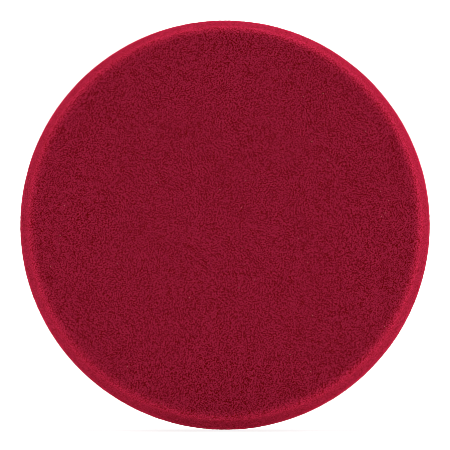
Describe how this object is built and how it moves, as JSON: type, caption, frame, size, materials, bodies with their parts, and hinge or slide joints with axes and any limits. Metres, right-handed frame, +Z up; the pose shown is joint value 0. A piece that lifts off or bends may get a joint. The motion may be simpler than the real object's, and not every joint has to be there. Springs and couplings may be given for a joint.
{
  "type": "foam polishing pad",
  "caption": "Round burgundy open-cell foam polishing pad with a flared wall and a hook-and-loop backing, for the backing plate of a dual action polisher.",
  "frame": {"origin": "centre of the loop face, where a backing plate takes hold", "axes": "the pad stands on edge: +Y is its axis and points out of the loop face, the working face looks along -Y, +Z is up"},
  "size_m": [0.16, 0.0245, 0.16],
  "materials": {
    "polishing_foam": "matte",
    "laminating_adhesive": "satin",
    "ground_cloth": "matte",
    "loop_pile": "matte"
  },
  "bodies": {
    "root": {"foam_disc": "polishing_foam", "adhesive_film": "laminating_adhesive", "loop_ground_cloth": "ground_cloth", "loop_pile": "loop_pile"}
  },
  "joints": []
}
